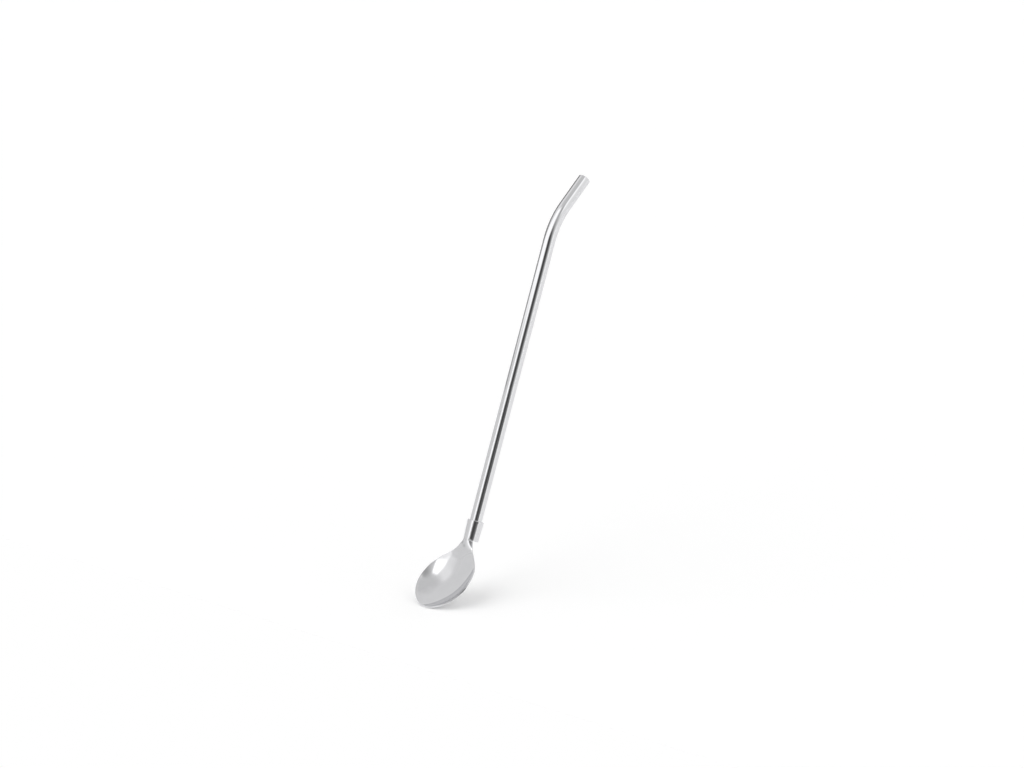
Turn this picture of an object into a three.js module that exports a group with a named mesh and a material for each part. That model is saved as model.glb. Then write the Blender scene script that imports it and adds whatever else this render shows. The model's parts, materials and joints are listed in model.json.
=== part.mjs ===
// Stirring straw: a bent steel drinking tube, brazed into a tapered collar that carries a pressed spoon.
// Millimetres, +Z up. The bowl faces -Y, X = 0 is the mirror plane, and the tube leans back towards +Y.
import * as THREE from 'three';
import { LoftGeometry } from 'three/addons/geometries/LoftGeometry.js';

// Straw tube
const TUBE_OD = 6;
const TUBE_WALL = 0.5;
const STEM_LENGTH = 146.5;
const BEND_RADIUS = 36;
const BEND_ANGLE = 30;
const MOUTH_LENGTH = 17.5;
const TUBE_EDGE = 0.1;

// Collar: a sleeve that tapers towards the spoon
const COLLAR_LENGTH = 9.8;
const COLLAR_TOP_OD = 8.1;
const COLLAR_BOTTOM_OD = 7.5;
const COLLAR_EDGE = 0.2;

// Spoon: one sheet, a half-round neck that opens into an egg-shaped bowl
const SHEET = 0.7;
const NECK_WRAP = 115;
const NECK_LENGTH = 4.6;
const NECK_FADE = 10;
const BOWL_LENGTH = 35.1;
const BOWL_WIDTH = 28.5;
const BOWL_DEPTH = 5;
const BOWL_WALL = 41;
const BOWL_TILT = 31;
const WIDEST_FROM_TIP = 15.7;

// Outline: flare at the neck, handles of the shoulder's curve, and fullness of the tip (2 is an ellipse)
const NECK_FLARE = 0.29;
const NECK_HANDLE = 11;
const SHOULDER_HANDLE = 14.6;
const TIP_POWER = 1.85;

// Joints and stance
const BRAZE_GAP = 0.1;
const LEAN = 22.2;

// Facet counts
const ROUND_SIDES = 40;
const STEM_STEPS = 8;
const BEND_STEPS = 12;
const MOUTH_STEPS = 2;
const OUTLINE_STEPS = 48;
const ACROSS_STEPS = 24;

const STEEL = { color: 0xd4d6d8, roughness: 0.12, metalness: 1 };

const rad = THREE.MathUtils.degToRad;

// Upright frame of the pieces: the tube's axis is Z, and Z = 0 is the collar's lower rim.

// Points along the tube's axis, each with the tilt of its cross-section.
function tubeStations() {
  const stations = [];
  for (let i = 0; i < STEM_STEPS; i++) {
    stations.push({ y: 0, z: STEM_LENGTH * i / STEM_STEPS, tilt: 0 });
  }
  for (let i = 0; i < BEND_STEPS; i++) {
    const tilt = rad(BEND_ANGLE) * i / BEND_STEPS;
    const y = BEND_RADIUS * (1 - Math.cos(tilt));
    stations.push({ y, z: STEM_LENGTH + BEND_RADIUS * Math.sin(tilt), tilt });
  }
  const tilt = rad(BEND_ANGLE);
  const bendY = BEND_RADIUS * (1 - Math.cos(tilt));
  const bendZ = STEM_LENGTH + BEND_RADIUS * Math.sin(tilt);
  for (let i = 0; i <= MOUTH_STEPS; i++) {
    const run = MOUTH_LENGTH * i / MOUTH_STEPS;
    stations.push({ y: bendY + run * Math.sin(tilt), z: bendZ + run * Math.cos(tilt), tilt });
  }
  return stations;
}

// A station moved along its own axis.
function slid(station, along) {
  const { y, z, tilt } = station;
  return { y: y + along * Math.sin(tilt), z: z + along * Math.cos(tilt), tilt };
}

// A ring of points round a station, anticlockwise seen from above.
function ring({ y, z, tilt }, radius) {
  const points = [];
  for (let i = 0; i < ROUND_SIDES; i++) {
    const angle = 2 * Math.PI * i / ROUND_SIDES;
    const across = radius * Math.sin(angle);
    const x = radius * Math.cos(angle);
    points.push(new THREE.Vector3(x, y + across * Math.cos(tilt), z - across * Math.sin(tilt)));
  }
  return points;
}

// A closed wall round an axis: up the outside, over the end, down the bore and back to the first ring.
function hollow(outside, bore) {
  return new LoftGeometry([...outside, ...bore, outside[0]]);
}

function strawTube() {
  const outer = TUBE_OD / 2;
  const inner = outer - TUBE_WALL;
  const stations = tubeStations();
  const foot = stations[0];
  const lip = stations[stations.length - 1];
  const between = stations.slice(1, -1);
  const outside = [
    ring(foot, outer - TUBE_EDGE),
    ring(slid(foot, TUBE_EDGE), outer),
    ...between.map((station) => ring(station, outer)),
    ring(slid(lip, -TUBE_EDGE), outer),
    ring(lip, outer - TUBE_EDGE),
  ];
  const bore = [
    ring(lip, inner + TUBE_EDGE),
    ring(slid(lip, -TUBE_EDGE), inner),
    ...between.toReversed().map((station) => ring(station, inner)),
    ring(slid(foot, TUBE_EDGE), inner),
    ring(foot, inner + TUBE_EDGE),
  ];
  return hollow(outside, bore);
}

function collar() {
  const foot = { y: 0, z: 0, tilt: 0 };
  const top = slid(foot, COLLAR_LENGTH);
  const bore = TUBE_OD / 2 + BRAZE_GAP;
  const bottomRadius = COLLAR_BOTTOM_OD / 2;
  const topRadius = COLLAR_TOP_OD / 2;
  const outside = [
    ring(foot, bottomRadius),
    ring(slid(top, -COLLAR_EDGE), topRadius),
    ring(top, topRadius - COLLAR_EDGE),
  ];
  return hollow(outside, [ring(top, bore), ring(foot, bore)]);
}

// The neck's section is the arc of the collar's rim that faces forward.
const WRAP = rad(NECK_WRAP / 2);
const NECK_RADIUS = COLLAR_BOTTOM_OD / 2;
const NECK_HALF_WIDTH = NECK_RADIUS * Math.sin(WRAP);
const NECK_RISE = NECK_RADIUS * (1 - Math.cos(WRAP));
const RIM_LENGTH = NECK_LENGTH + BOWL_LENGTH;
const WIDEST_RUN = RIM_LENGTH - WIDEST_FROM_TIP;

// A quarter of a superellipse, from the bowl's widest section to its tip.
class TipCurve extends THREE.Curve {
  getPoint(t, target = new THREE.Vector2()) {
    const angle = t * Math.PI / 2;
    const reach = WIDEST_FROM_TIP * Math.sin(angle) ** (2 / TIP_POWER);
    const halfWidth = BOWL_WIDTH / 2 * Math.cos(angle) ** (2 / TIP_POWER);
    return target.set(WIDEST_RUN + reach, halfWidth);
  }
}

// Half of the spoon's outline laid flat: run along the rim, then half-width.
function spoonOutline() {
  const half = BOWL_WIDTH / 2;
  const shoulder = new THREE.CubicBezierCurve(
    new THREE.Vector2(0, NECK_HALF_WIDTH),
    new THREE.Vector2(NECK_HANDLE, NECK_HALF_WIDTH + NECK_FLARE * NECK_HANDLE),
    new THREE.Vector2(WIDEST_RUN - SHOULDER_HANDLE, half),
    new THREE.Vector2(WIDEST_RUN, half),
  );
  const outline = new THREE.CurvePath();
  outline.add(shoulder);
  outline.add(new TipCurve());
  return outline;
}

// Side view of the rim: it leaves the collar straight down and curves into the tilted plane of the bowl.
function rimLine() {
  const tilt = rad(BOWL_TILT);
  const down = new THREE.Vector3(0, 0, -1);
  const forward = new THREE.Vector3(0, -Math.sin(tilt), -Math.cos(tilt));
  const start = new THREE.Vector3(0, -NECK_RADIUS * Math.cos(WRAP), -BRAZE_GAP);
  const corner = start.clone().addScaledVector(down, NECK_LENGTH);
  const curveEnd = corner.clone().addScaledVector(forward, NECK_LENGTH);
  const tip = corner.clone().addScaledVector(forward, BOWL_LENGTH);
  const line = new THREE.CurvePath();
  line.add(new THREE.QuadraticBezierCurve3(start, corner, curveEnd));
  line.add(new THREE.LineCurve3(curveEnd, tip));
  return line;
}

// Height of an arc over its chord: 1 at the middle, 0 at either end, where it meets the chord at this slope.
function arcShare(share, slope) {
  const sine = share * Math.sin(slope);
  return (Math.sqrt(1 - sine * sine) - Math.cos(slope)) / (1 - Math.cos(slope));
}

// How far the sheet lies behind its rim: the neck's arch stands in front of it and soon fades into the hollow.
function sheetDepth(run, halfWidth, side) {
  const wall = rad(BOWL_WALL);
  if (run > WIDEST_RUN) {
    const across = Math.abs(halfWidth * side) * 2 / BOWL_WIDTH;
    const along = (run - WIDEST_RUN) / WIDEST_FROM_TIP;
    const share = (across ** TIP_POWER + along ** TIP_POWER) ** (1 / TIP_POWER);
    return BOWL_DEPTH * arcShare(Math.min(share, 1), wall);
  }
  const opening = THREE.MathUtils.smoothstep(run, 0, WIDEST_RUN);
  const flattening = THREE.MathUtils.smoothstep(run, 0, NECK_FADE);
  const arch = NECK_RISE * (1 - flattening) * arcShare(side, WRAP);
  return BOWL_DEPTH * opening * arcShare(side, wall) - arch;
}

// A point of the sheet's front face: run and half-width from the outline, side from -1 to 1.
function frontPoint(line, { x: run, y: halfWidth }, side) {
  const at = THREE.MathUtils.clamp(run / RIM_LENGTH, 0, 1);
  const point = line.getPointAt(at);
  const along = line.getTangentAt(at);
  const behind = new THREE.Vector3(0, -along.z, along.y);
  point.addScaledVector(behind, sheetDepth(run, halfWidth, side));
  point.x = halfWidth * side;
  return point;
}

// The sheet as closed sections from the neck to the tip: across its back face, then home along its front.
function spoon() {
  const line = rimLine();
  const outline = spoonOutline().getSpacedPoints(OUTLINE_STEPS).slice(0, -1);
  const sides = Array.from({ length: ACROSS_STEPS + 1 }, (_, i) => 2 * i / ACROSS_STEPS - 1);
  const front = outline.map((station) => sides.map((side) => frontPoint(line, station, side)));
  const sections = front.map((row, i) => {
    const before = front[Math.max(i - 1, 0)];
    const after = front[Math.min(i + 1, front.length - 1)];
    const back = row.map((point, j) => {
      const across = row[Math.min(j + 1, ACROSS_STEPS)].clone().sub(row[Math.max(j - 1, 0)]);
      const along = after[j].clone().sub(before[j]);
      const behind = across.cross(along).normalize();
      return point.clone().addScaledVector(behind, SHEET);
    });
    return [...back, ...row.toReversed()];
  });
  return new LoftGeometry(sections, { capStart: true, capEnd: true });
}

function piece(name, geometry) {
  const mesh = new THREE.Mesh(geometry, new THREE.MeshStandardMaterial(STEEL));
  mesh.name = name;
  return mesh;
}

// The straw leans back about X and stands on the lowest point of its bowl, centred on the origin.
const leaning = new THREE.Group();
leaning.add(piece('straw_tube', strawTube()), piece('collar', collar()), piece('spoon', spoon()));
leaning.rotation.x = -rad(LEAN);

const straw = new THREE.Group();
straw.add(leaning);
const box = new THREE.Box3().setFromObject(straw, true);
leaning.position.set(0, -(box.min.y + box.max.y) / 2, -box.min.z);

export default straw;
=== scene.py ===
"""Stirring straw in polished steel: three pieces as fine meshes, their finish, the studio and the camera."""
import json
import math

import bpy
import numpy as np
from mathutils import Matrix, Vector


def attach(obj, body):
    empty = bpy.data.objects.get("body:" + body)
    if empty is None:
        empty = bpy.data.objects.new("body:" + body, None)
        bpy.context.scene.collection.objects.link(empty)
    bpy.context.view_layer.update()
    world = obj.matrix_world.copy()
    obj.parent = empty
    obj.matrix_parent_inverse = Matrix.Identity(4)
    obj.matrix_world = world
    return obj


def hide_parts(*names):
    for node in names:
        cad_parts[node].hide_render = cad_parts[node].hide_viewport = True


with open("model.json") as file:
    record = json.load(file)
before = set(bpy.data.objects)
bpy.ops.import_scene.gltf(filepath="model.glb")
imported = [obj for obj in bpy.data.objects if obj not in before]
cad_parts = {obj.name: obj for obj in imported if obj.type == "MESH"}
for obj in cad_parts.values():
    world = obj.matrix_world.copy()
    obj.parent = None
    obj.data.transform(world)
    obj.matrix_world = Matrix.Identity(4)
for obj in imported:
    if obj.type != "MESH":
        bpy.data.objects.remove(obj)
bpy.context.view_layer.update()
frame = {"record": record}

# Lengths are in millimetres and angles in degrees, and this takes a length to Blender's metres
MM = 0.001

# Straw tube
TUBE_OD = 6.0
TUBE_WALL = 0.5
STEM_LENGTH = 146.5
BEND_RADIUS = 36.0
BEND_ANGLE = 30.0
MOUTH_LENGTH = 17.5
LIP_ROUND = 0.18

# Collar
COLLAR_LENGTH = 9.8
COLLAR_TOP_OD = 8.1
COLLAR_BOTTOM_OD = 7.5
COLLAR_TOP_ROUND = 0.3
COLLAR_FOOT_ROUND = 0.06
BRAZE_GAP = 0.1

# Spoon
SHEET = 0.7
RIM_ROUND = 0.25
NECK_WRAP = 115.0
NECK_LENGTH = 4.6
NECK_FADE = 10.0
NECK_FLARE = 0.29
BOWL_LENGTH = 35.1
BOWL_WIDTH = 28.5
BOWL_DEPTH = 5.0
BOWL_TILT = 31.0
BOWL_WALL = 41.0
WIDEST_FROM_TIP = 15.7
TIP_POWER = 1.85
NECK_HANDLE = 11.0
SHOULDER_HANDLE = 14.6

# Sizes that follow from these, with angles in radians
BEND_TURN = math.radians(BEND_ANGLE)
BEND_RUN = BEND_RADIUS * BEND_TURN
TUBE_LENGTH = STEM_LENGTH + BEND_RUN + MOUTH_LENGTH
WRAP = math.radians(NECK_WRAP / 2)
WALL_SLOPE = math.radians(BOWL_WALL)
NECK_RADIUS = COLLAR_BOTTOM_OD / 2
NECK_HALF_WIDTH = NECK_RADIUS * math.sin(WRAP)
NECK_RISE = NECK_RADIUS * (1 - math.cos(WRAP))
RIM_LENGTH = NECK_LENGTH + BOWL_LENGTH
WIDEST_RUN = RIM_LENGTH - WIDEST_FROM_TIP

# Mesh steps. The slope step sets how short a stretch of the rim line its slope is read over, and the
# edge angle is the least one between faces that makes an edge of the rim
ROUND_SIDES = 128
LONGEST_STEP = 1.5
CORNER_STEPS = 6
NECK_ROWS = 72
HALF_COLUMNS = 36
COLUMNS = 2 * HALF_COLUMNS + 1
TIP_RAYS = 120
RIM_STEPS = 4
SLOPE_STEP = 0.5
RIM_EDGE_ANGLE = 50.0

# Camera: direction from the straw, distance, and where on the tube's axis it aims
CAMERA_AZIMUTH = 42.19
CAMERA_ELEVATION = 16.82
CAMERA_DISTANCE = 2500.0
AIM_HEIGHT = 76.6
AIM_RIGHT = 0.15
PIXELS_PER_MM = 2.113
IMAGE_WIDTH = 1024
SENSOR_WIDTH = 36.0

# Steel: tone and roughness vary over a soft cloud, and fine marks dull it. The marks are noise, squeezed
# by its cells per millimetre across the surface and along it. The hairlines' turn is in radians
STEEL_TONES = ((0.705, 0.706, 0.720, 1), (0.735, 0.736, 0.750, 1))
GLOSS_RANGE = (0.04, 0.08)
CLOUD_PER_MM = (0.12, 0.12)
CLOUD_SPAN = (0.3, 0.7)
CLOUD_DETAIL = 2
ROUND_LINES_PER_MM = (0.15, 2.5)
LONG_LINES_PER_MM = (2.5, 0.12)
LINE_DETAIL = 3
LINE_DEPTH = 0.0002
LINE_DULLNESS = 0.03
HAIRLINES_PER_MM = (0.2, 5.0)
HAIRLINE_SPAN = (0.68, 0.76)
HAIRLINE_DETAIL = 1
HAIRLINE_TURN = 0.6
HAIRLINE_DULLNESS = 0.05
NOISE_ROUGHNESS = 0.55
BORE_DULLNESS = 0.3

# Floor of pale paper, which ends a little way in front of the straw
FLOOR_SIZE = 4000.0
FLOOR_FRONT = 120.0
FLOOR_GLOW = 0.13
PAPER_TONE = (0.95, 0.95, 0.95, 1)
PAPER_ROUGHNESS = 0.9
WHITE = (1, 1, 1, 1)

# Key lamp, which lights the floor and isn't mirrored
KEY_AZIMUTH = -36.0
KEY_ELEVATION = 54.0
KEY_SPREAD = 50.0
KEY_STRENGTH = 0.50

# Radiance of the room, and of the far panels in it that the steel mirrors, each over the ones before it.
# A panel has a radiance and edges. An edge fades the panel in while (azimuth times its first number)
# + (elevation times its second) goes from its third number to its fourth
ROOM_LIGHT = 0.80
PANELS = {
    "ceiling": (0.70, (0, 1, 60, 74)),
    "past_floor": (0.12, (1, 0, -85, -65), (1, 0, 85, 65), (0, 1, 0, -5)),
    "left_low": (0.33, (1, 0, -112, -98), (1, 0, -55, -69), (0, 1, 30, 14), (0, 1, -3, 4)),
    "left_far": (0.05, (1, 0, -150, -128), (1, 0, -94, -103), (0, 1, 29, 20)),
    "left_strip": (1.00, (1, 0, -96, -84), (1, 0, -54, -64), (0, 1, 40, 47), (0, 1, 63, 57)),
    "left_glow": (0.98, (1, 0, -36, -16), (1, 0, 10, 0), (0, 1, 34, 22)),
    "upper_glow": (1.02, (1, 0, -64, -38), (1, 0, 10, 0), (0, 1, 33, 45), (0, 1, 66, 52)),
    "right_wall": (0.96, (1, 0, 80, 95), (1, 0, 150, 130), (0, 1, 50, 34)),
    "right_low": (1.16, (1, 0, 76, 90), (1, 0, 112, 102), (0, 1, 14, 5)),
    "right_lamp": (1.27, (1, 0, 50, 66), (1, 0, 102, 90), (0, 1, 28, 42), (0, 1, 65, 57)),
    "dim_gap": (0.44, (1, 0.8, 64, 104), (1, 0, 82, 62), (0, 1, 74, 58)),
    "dark_gap": (0.08, (1, 0, 4, 30), (1, 0.5, 91, 57), (0, 1, 56, 22)),
    "softbox": (1.14, (1, 0.3, -10, 0), (1, -1, -66, -55), (1, -0.4, 8, -4), (0, 1, 64, 57)),
    "stem_light": (1.38, (1, 0.3, -10, 0), (1, -0.4, 8, -4), (0, 1, 33, 25)),
    "hot_spot": (
        1.70, (1, 0.3, -8, 0), (1, -1, -66, -55), (1, -0.4, 6, -4), (0, 1, 64, 57), (0, 1, 39, 45),
    ),
}

# Cards close to the straw, for what only its upper or only its lower part mirrors. A card has the axis it
# faces along, its place on that axis, a radiance, and edges as a panel's, in the other two coordinates
CARD_SIZE = 4000.0
CARDS = {
    "upper_card": (
        (0, 1, 0), -20.0, 1.36,
        (1, 0, -120, -40), (1, -0.6, -92, -104), (1, 0, 34, 20), (0, 1, 100, 175), (0, 1, 360, 290),
    ),
    "lower_card": ((0, 0, -1), 97.0, 0.81, (1, 0, -5, -45), (-0.9, 1, -55, -15)),
    "lower_shade": ((0, 0, -1), 108.0, 0.16, (1, 0, 80, 140), (0.7, 1, -40, 0), (-0.14, -1, 12, 24)),
    "bowl_card": ((-1, 0, 0), 60.0, 0.60, (0.3, 1, 13, 5), (1, 0, -40, -55)),
}


def mount(name):
    """Place and direction of one of the record's mounts, in metres."""
    found = next(m for m in frame["record"]["mounts"] if m["name"] == name)
    return Vector(found["pos_m"]), Vector(found["axis"])


def stance():
    """Takes the upright frame, with the collar's lower rim at Z = 0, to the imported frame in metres."""
    rim_point, down = mount("inlet_rim")
    back = mount("glass_rest")[1]
    rim_middle = (COLLAR_BOTTOM_OD / 2 + TUBE_OD / 2 + BRAZE_GAP) / 2
    foot = rim_point - back * rim_middle * MM
    turn = Matrix((back.cross(-down), back, -down)).transposed().to_4x4()
    return Matrix.Translation(foot) @ turn @ Matrix.Scale(MM, 4)


STANCE = stance()


def arc_share(share, slope):
    """Height of an arc over its chord, which it meets at this slope: 1 at the middle and 0 at both ends."""
    height = np.sqrt(1 - (share * np.sin(slope)) ** 2) - np.cos(slope)
    return height / (1 - np.cos(slope))


def smooth_step(share):
    share = np.clip(share, 0, 1)
    return share * share * (3 - 2 * share)


def bezier(a, b, c, d, t):
    return a * (1 - t) ** 3 + 3 * b * t * (1 - t) ** 2 + 3 * c * t * t * (1 - t) + d * t ** 3


def add_piece(name, points, faces, uvs, node):
    """A piece from upright points, with a UV pair per face corner, that stands for a node of the frame."""
    mesh = bpy.data.meshes.new(name)
    mesh.from_pydata([STANCE @ Vector(p) for p in points], [], faces)
    layer = mesh.uv_layers.new(name="Polish")
    layer.uv.foreach_set("vector", np.asarray(uvs, dtype=np.float32).ravel())
    mesh.shade_smooth()
    piece = bpy.data.objects.new(name, mesh)
    bpy.context.scene.collection.objects.link(piece)
    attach(piece, "root")
    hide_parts(node)
    return piece


def rounded_loop(corners, rounds):
    """A closed loop of straight sides whose corners are arcs."""
    loop = []
    count = len(corners)
    for i, radius in enumerate(rounds):
        corner = Vector(corners[i])
        to_last = (Vector(corners[i - 1]) - corner).normalized()
        to_next = (Vector(corners[(i + 1) % count]) - corner).normalized()
        half = to_last.angle(to_next) / 2
        centre = corner + (to_last + to_next).normalized() * (radius / math.sin(half))
        start = corner + to_last * (radius / math.tan(half)) - centre
        end = corner + to_next * (radius / math.tan(half)) - centre
        for step in range(CORNER_STEPS + 1):
            loop.append(centre + start.slerp(end, step / CORNER_STEPS).normalized() * radius)
    return loop


def stepped(loop):
    """The closed loop with its long sides cut into short steps."""
    points = []
    for a, b in zip(loop, loop[1:] + loop[:1]):
        steps = max(1, math.ceil((b - a).length / LONGEST_STEP))
        points += [a.lerp(b, i / steps) for i in range(steps)]
    return points


def axis_at(run):
    """The tube's centre line: place in the mirror plane and tilt, at a run from its foot."""
    tilt = min(max(run - STEM_LENGTH, 0) / BEND_RADIUS, BEND_TURN)
    straight = min(run, STEM_LENGTH)
    past = max(run - STEM_LENGTH - BEND_RUN, 0)
    y = BEND_RADIUS * (1 - math.cos(tilt)) + past * math.sin(tilt)
    z = straight + BEND_RADIUS * math.sin(tilt) + past * math.cos(tilt)
    return y, z, tilt


def spun_piece(name, loop, node):
    """A wall swept round the tube's centre line. The loop holds runs along the line and radii."""
    points, faces, uvs = [], [], []
    angles = [2 * math.pi * i / ROUND_SIDES for i in range(ROUND_SIDES)]
    for run, radius in loop:
        y, z, tilt = axis_at(run)
        for angle in angles:
            side = radius * math.cos(angle)
            across = radius * math.sin(angle)
            points.append((side, y + across * math.cos(tilt), z - across * math.sin(tilt)))
    lengths = [(b - a).length for a, b in zip(loop, loop[1:] + loop[:1])]
    along = np.concatenate([[0], np.cumsum(lengths)])
    girth = math.pi * TUBE_OD
    for i in range(len(loop)):
        first = i * ROUND_SIDES
        second = (i + 1) % len(loop) * ROUND_SIDES
        for j in range(ROUND_SIDES):
            k = (j + 1) % ROUND_SIDES
            faces.append((first + j, first + k, second + k, second + j))
            left = girth * j / ROUND_SIDES
            right = girth * (j + 1) / ROUND_SIDES
            uvs += [(left, along[i]), (right, along[i]), (right, along[i + 1]), (left, along[i + 1])]
    return add_piece(name, points, faces, uvs, node)


def straw_tube():
    """The bent tube, open right through, with rounded lips."""
    outer = TUBE_OD / 2
    inner = outer - TUBE_WALL
    corners = [(0, outer), (TUBE_LENGTH, outer), (TUBE_LENGTH, inner), (0, inner)]
    loop = stepped(rounded_loop(corners, [LIP_ROUND] * len(corners)))
    return spun_piece("polished_tube", loop, "straw_tube")


def collar():
    """The tapered sleeve on the tube's foot."""
    bore = TUBE_OD / 2
    foot = COLLAR_BOTTOM_OD / 2
    top = COLLAR_TOP_OD / 2
    corners = [(0, foot), (COLLAR_LENGTH, top), (COLLAR_LENGTH, bore), (0, bore)]
    rounds = [COLLAR_FOOT_ROUND, COLLAR_TOP_ROUND, COLLAR_FOOT_ROUND, COLLAR_FOOT_ROUND]
    loop = stepped(rounded_loop(corners, rounds))
    return spun_piece("polished_collar", loop, "collar")


def shoulder():
    """Half of the outline laid flat, neck to widest section: runs along the rim and half-widths."""
    t = np.linspace(0, 1, NECK_ROWS + 1)
    runs = bezier(0, NECK_HANDLE, WIDEST_RUN - SHOULDER_HANDLE, WIDEST_RUN, t)
    flared = NECK_HALF_WIDTH + NECK_FLARE * NECK_HANDLE
    widths = bezier(NECK_HALF_WIDTH, flared, BOWL_WIDTH / 2, BOWL_WIDTH / 2, t)
    return runs, widths


def rim_line():
    """Side view of the rim: points in the mirror plane, and the run at each as a share of the whole."""
    tilt = math.radians(BOWL_TILT)
    forward = np.array([-math.sin(tilt), -math.cos(tilt)])
    start = np.array([-NECK_RADIUS * math.cos(WRAP), 0])
    corner = start + np.array([0, -NECK_LENGTH])
    t = np.linspace(0, 1, NECK_ROWS + 1)[:, None]
    curve = start * (1 - t) ** 2 + 2 * corner * t * (1 - t) + (corner + forward * NECK_LENGTH) * t * t
    points = np.vstack([curve, corner + forward * BOWL_LENGTH])
    lengths = np.linalg.norm(np.diff(points, axis=0), axis=1)
    runs = np.concatenate([[0], np.cumsum(lengths)])
    return points, runs / runs[-1]


def on_sheet(runs, across, depths):
    """Upright points of the sheet's front face, at depths square to the rim line."""
    line, shares = rim_line()

    def on_line(at):
        return np.stack([np.interp(at, shares, line[:, i]) for i in range(2)], -1)

    at = runs / RIM_LENGTH
    place = on_line(at)
    nudge = SLOPE_STEP / len(shares) ** 2
    along = on_line(np.minimum(at + nudge, 1)) - on_line(np.maximum(at - nudge, 0))
    along /= np.linalg.norm(along, axis=-1, keepdims=True)
    y = place[..., 0] - along[..., 1] * depths
    z = place[..., 1] + along[..., 0] * depths
    return np.stack([across, y, z], -1)


def neck_rows():
    """Rows across the neck and shoulder: runs, places across, and depths that turn from arch to hollow."""
    sides = np.linspace(-1, 1, COLUMNS)
    runs, widths = shoulder()
    opening = smooth_step(runs / WIDEST_RUN)[:, None]
    flattening = smooth_step(runs / NECK_FADE)[:, None]
    arch = NECK_RISE * (1 - flattening) * arc_share(sides, WRAP)
    hollow = BOWL_DEPTH * opening * arc_share(sides, WALL_SLOPE)
    return np.repeat(runs[:, None], COLUMNS, 1), widths[:, None] * sides, hollow - arch


def tip_rays():
    """Rays from the bowl's middle to the rim round its tip: runs, places across and depths."""
    turns = np.linspace(0, math.pi, TIP_RAYS + 1)[1:-1]
    reach = WIDEST_FROM_TIP * np.sin(turns) ** (2 / TIP_POWER)
    swing = -np.sign(np.cos(turns)) * BOWL_WIDTH / 2 * np.abs(np.cos(turns)) ** (2 / TIP_POWER)
    shares = np.arange(1, HALF_COLUMNS + 1) / HALF_COLUMNS
    depths = np.repeat(BOWL_DEPTH * arc_share(shares, WALL_SLOPE)[None], len(turns), 0)
    return WIDEST_RUN + reach[:, None] * shares, swing[:, None] * shares, depths


def sheet_faces():
    """Faces between the rows, then between the rays. The last row's halves are the first and last ray."""
    faces = []
    for i in range(NECK_ROWS):
        for j in range(COLUMNS - 1):
            a = i * COLUMNS + j
            faces.append((a, a + COLUMNS, a + COLUMNS + 1, a + 1))
    middle = NECK_ROWS * COLUMNS + HALF_COLUMNS
    fan = [[middle - i for i in range(1, HALF_COLUMNS + 1)]]
    for k in range(TIP_RAYS - 1):
        start = (NECK_ROWS + 1) * COLUMNS + k * HALF_COLUMNS
        fan.append([start + i for i in range(HALF_COLUMNS)])
    fan.append([middle + i for i in range(1, HALF_COLUMNS + 1)])
    for ray, following in zip(fan, fan[1:]):
        faces.append((middle, ray[0], following[0]))
        for i in range(HALF_COLUMNS - 1):
            faces.append((ray[i], ray[i + 1], following[i + 1], following[i]))
    return faces


def spoon():
    """The sheet's front face, thickened to the back, with a rounded rim."""
    parts = [neck_rows(), tip_rays()]
    points = np.vstack([on_sheet(*part).reshape(-1, 3) for part in parts])
    flat = np.vstack([np.stack([across, runs], -1).reshape(-1, 2) for runs, across, _ in parts])
    faces = sheet_faces()
    uvs = [flat[v] for face in faces for v in face]
    piece = add_piece("polished_spoon", points.tolist(), faces, uvs, "spoon")
    thicken = piece.modifiers.new("sheet", "SOLIDIFY")
    thicken.thickness = SHEET * MM
    thicken.offset = -1
    thicken.use_even_offset = True
    round_rim = piece.modifiers.new("rim", "BEVEL")
    round_rim.width = RIM_ROUND * MM
    round_rim.segments = RIM_STEPS
    round_rim.limit_method = "ANGLE"
    round_rim.angle_limit = math.radians(RIM_EDGE_ANGLE)
    return piece


def node(tree, kind, *values, **settings):
    """First output of a new node. Its inputs, in order, are linked to sockets or set to values."""
    made = tree.nodes.new(kind)
    for name, value in settings.items():
        setattr(made, name, value)
    for socket, value in zip(made.inputs, values):
        if isinstance(value, bpy.types.NodeSocket):
            tree.links.new(value, socket)
        else:
            socket.default_value = value
    return made.outputs[0]


def noise(tree, place, turn, scale, detail):
    """Noise in the surface's own millimetres: turned, then squeezed by a scale across and one along."""
    squeezed = node(tree, "ShaderNodeMapping", place, (0, 0, 0), (0, 0, turn), (*scale, 1))
    return node(tree, "ShaderNodeTexNoise", squeezed, 0, 1, detail, NOISE_ROUGHNESS)


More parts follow.
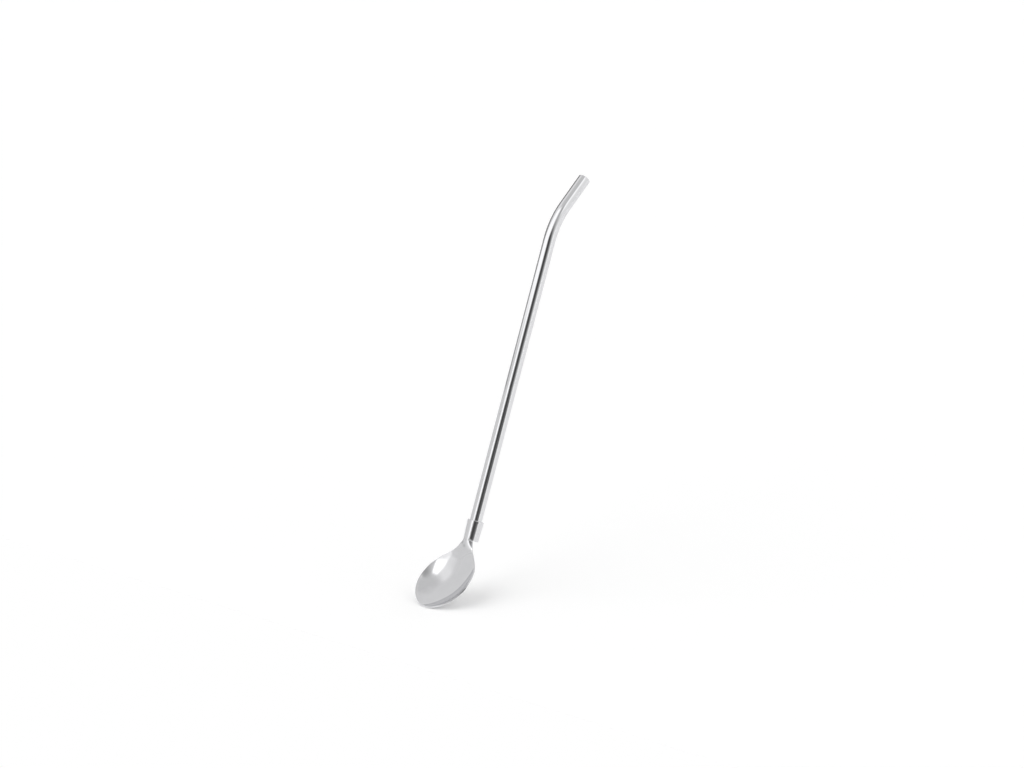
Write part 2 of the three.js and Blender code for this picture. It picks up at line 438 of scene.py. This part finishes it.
def steel(name, lines, bore_from):
    """Polished stainless steel: polishing lines, sparse hairlines and a cloudy gloss, dull down the bore."""
    material = bpy.data.materials.new(name)
    material.use_nodes = True
    tree = material.node_tree
    shader = tree.nodes["Principled BSDF"]
    shader.inputs["Metallic"].default_value = 1
    place = node(tree, "ShaderNodeUVMap", uv_map="Polish")
    polish = noise(tree, place, 0, lines, LINE_DETAIL)
    cloud = noise(tree, place, 0, CLOUD_PER_MM, CLOUD_DETAIL)
    streak = noise(tree, place, HAIRLINE_TURN, HAIRLINES_PER_MM, HAIRLINE_DETAIL)
    hairline = node(tree, "ShaderNodeMapRange", streak, *HAIRLINE_SPAN, 0, HAIRLINE_DULLNESS)
    gloss = node(tree, "ShaderNodeMapRange", cloud, *CLOUD_SPAN, *GLOSS_RANGE)
    lined = node(tree, "ShaderNodeMath", polish, LINE_DULLNESS, gloss, operation="MULTIPLY_ADD")
    dulled = node(tree, "ShaderNodeMath", lined, hairline, operation="ADD")
    along = tree.nodes.new("ShaderNodeSeparateXYZ")
    tree.links.new(place, along.inputs[0])
    bore_span = (bore_from, bore_from + TUBE_WALL)
    rough = node(tree, "ShaderNodeMapRange", along.outputs["Y"], *bore_span, dulled, BORE_DULLNESS)
    tree.links.new(rough, shader.inputs["Roughness"])
    tone = tree.nodes.new("ShaderNodeValToRGB")
    for element, position, colour in zip(tone.color_ramp.elements, CLOUD_SPAN, STEEL_TONES):
        element.position = position
        element.color = colour
    tree.links.new(cloud, tone.inputs[0])
    tree.links.new(tone.outputs[0], shader.inputs["Base Color"])
    bump = tree.nodes.new("ShaderNodeBump")
    bump.inputs["Distance"].default_value = LINE_DEPTH * MM
    tree.links.new(polish, bump.inputs["Height"])
    tree.links.new(bump.outputs[0], shader.inputs["Normal"])
    return material


def direction(azimuth, elevation):
    """Unit vector from the straw: azimuth 0 is towards -Y and 90 towards +X."""
    azimuth = math.radians(azimuth)
    elevation = math.radians(elevation)
    flat = math.cos(elevation)
    return Vector((math.sin(azimuth) * flat, -math.cos(azimuth) * flat, math.sin(elevation)))


def camera():
    """The photograph's camera, aimed at the stem."""
    towards = direction(CAMERA_AZIMUTH, CAMERA_ELEVATION)
    right = direction(CAMERA_AZIMUTH + 90, 0)
    aim = STANCE @ Vector((0, 0, AIM_HEIGHT)) + right * AIM_RIGHT * MM
    data = bpy.data.cameras.new("photo_camera")
    data.sensor_width = SENSOR_WIDTH
    data.lens = PIXELS_PER_MM * CAMERA_DISTANCE / IMAGE_WIDTH * SENSOR_WIDTH
    shot = bpy.data.objects.new("photo_camera", data)
    shot.location = aim + towards * CAMERA_DISTANCE * MM
    shot.rotation_euler = towards.to_track_quat("Z", "Y").to_euler()
    bpy.context.scene.collection.objects.link(shot)
    bpy.context.scene.camera = shot


def floor():
    """The sheet of paper that the straw stands on."""
    middle = (FLOOR_SIZE / 2 - FLOOR_FRONT) * MM
    bpy.ops.mesh.primitive_plane_add(size=FLOOR_SIZE * MM, location=(0, middle, 0))
    ground = bpy.context.object
    ground.name = "studio_floor"
    material = bpy.data.materials.new("floor_paper")
    material.use_nodes = True
    shader = material.node_tree.nodes["Principled BSDF"]
    shader.inputs["Base Color"].default_value = PAPER_TONE
    shader.inputs["Roughness"].default_value = PAPER_ROUGHNESS
    shader.inputs["Specular IOR Level"].default_value = 0
    shader.inputs["Emission Color"].default_value = WHITE
    shader.inputs["Emission Strength"].default_value = FLOOR_GLOW
    ground.data.materials.append(material)


def cover(tree, first, second, edges, unit=1):
    """How far a panel or card shows, from 0 to 1, at two coordinates: the fades of its edges, multiplied."""
    share = 1
    for first_share, second_share, start, stop in edges:
        part = node(tree, "ShaderNodeMath", first, first_share, operation="MULTIPLY")
        mark = node(tree, "ShaderNodeMath", second, second_share, part, operation="MULTIPLY_ADD")
        span = (start * unit, stop * unit)
        fade = node(tree, "ShaderNodeMapRange", mark, *span, interpolation_type="SMOOTHSTEP")
        share = node(tree, "ShaderNodeMath", share, fade, operation="MULTIPLY")
    return share


def studio():
    """A room of soft panels that the steel mirrors. The camera itself sees a plain pale backdrop."""
    world = bpy.data.worlds.new("studio")
    bpy.context.scene.world = world
    world.use_nodes = True
    tree = world.node_tree
    ray = tree.nodes.new("ShaderNodeSeparateXYZ")
    tree.links.new(node(tree, "ShaderNodeTexCoord"), ray.inputs[0])
    ahead = node(tree, "ShaderNodeMath", ray.outputs["Y"], -1, operation="MULTIPLY")
    turn = node(tree, "ShaderNodeMath", ray.outputs["X"], ahead, operation="ARCTAN2")
    azimuth = node(tree, "ShaderNodeMath", turn, operation="DEGREES")
    rise = node(tree, "ShaderNodeMath", ray.outputs["Z"], operation="ARCSINE")
    elevation = node(tree, "ShaderNodeMath", rise, operation="DEGREES")
    light = ROOM_LIGHT
    for radiance, *edges in PANELS.values():
        shown = cover(tree, azimuth, elevation, edges)
        light = node(tree, "ShaderNodeMapRange", shown, 0, 1, light, radiance)
    panels = node(tree, "ShaderNodeBackground", light)
    backdrop = node(tree, "ShaderNodeBackground", WHITE)
    seen = node(tree, "ShaderNodeLightPath")
    mixed = node(tree, "ShaderNodeMixShader", seen, panels, backdrop)
    tree.links.new(mixed, tree.nodes["World Output"].inputs["Surface"])
    bpy.context.scene.view_settings.view_transform = "Standard"


def key_lamp():
    """A wide sun from the upper left, for the soft shade on the floor."""
    data = bpy.data.lights.new("key", "SUN")
    data.energy = KEY_STRENGTH
    data.angle = math.radians(KEY_SPREAD)
    lamp = bpy.data.objects.new("key", data)
    lamp.rotation_euler = direction(KEY_AZIMUTH, KEY_ELEVATION).to_track_quat("Z", "Y").to_euler()
    lamp.visible_glossy = False
    bpy.context.scene.collection.objects.link(lamp)


def card(name, facing, distance, radiance, *edges):
    """A flat card that glows on its front, is clear from behind, and shows in the steel only."""
    facing = Vector(facing)
    spot = [abs(share) * distance * MM for share in facing]
    turn = facing.to_track_quat("Z", "Y").to_euler()
    bpy.ops.mesh.primitive_plane_add(size=CARD_SIZE * MM, location=spot, rotation=turn)
    sheet = bpy.context.object
    sheet.name = name
    sheet.visible_camera = False
    sheet.visible_diffuse = False
    sheet.visible_shadow = False
    material = bpy.data.materials.new(name)
    material.use_nodes = True
    tree = material.node_tree
    surface = tree.nodes.new("ShaderNodeNewGeometry")
    place = tree.nodes.new("ShaderNodeSeparateXYZ")
    tree.links.new(surface.outputs["Position"], place.inputs[0])
    across = [place.outputs[i] for i in range(3) if not facing[i]]
    front = node(tree, "ShaderNodeMath", 1, surface.outputs["Backfacing"], operation="SUBTRACT")
    shown = node(tree, "ShaderNodeMath", cover(tree, *across, edges, MM), front, operation="MULTIPLY")
    clear = node(tree, "ShaderNodeBsdfTransparent")
    glow = node(tree, "ShaderNodeEmission", WHITE, radiance)
    mixed = node(tree, "ShaderNodeMixShader", shown, clear, glow)
    tree.links.new(mixed, tree.nodes["Material Output"].inputs["Surface"])
    sheet.data.materials.append(material)


camera()
straw_tube().data.materials.append(steel("drawn_steel", ROUND_LINES_PER_MM, TUBE_LENGTH))
collar().data.materials.append(steel("turned_steel", ROUND_LINES_PER_MM, COLLAR_LENGTH + COLLAR_TOP_OD / 2))
spoon().data.materials.append(steel("pressed_steel", LONG_LINES_PER_MM, 2 * RIM_LENGTH))
floor()
studio()
key_lamp()
for card_name, card_setup in CARDS.items():
    card(card_name, *card_setup)
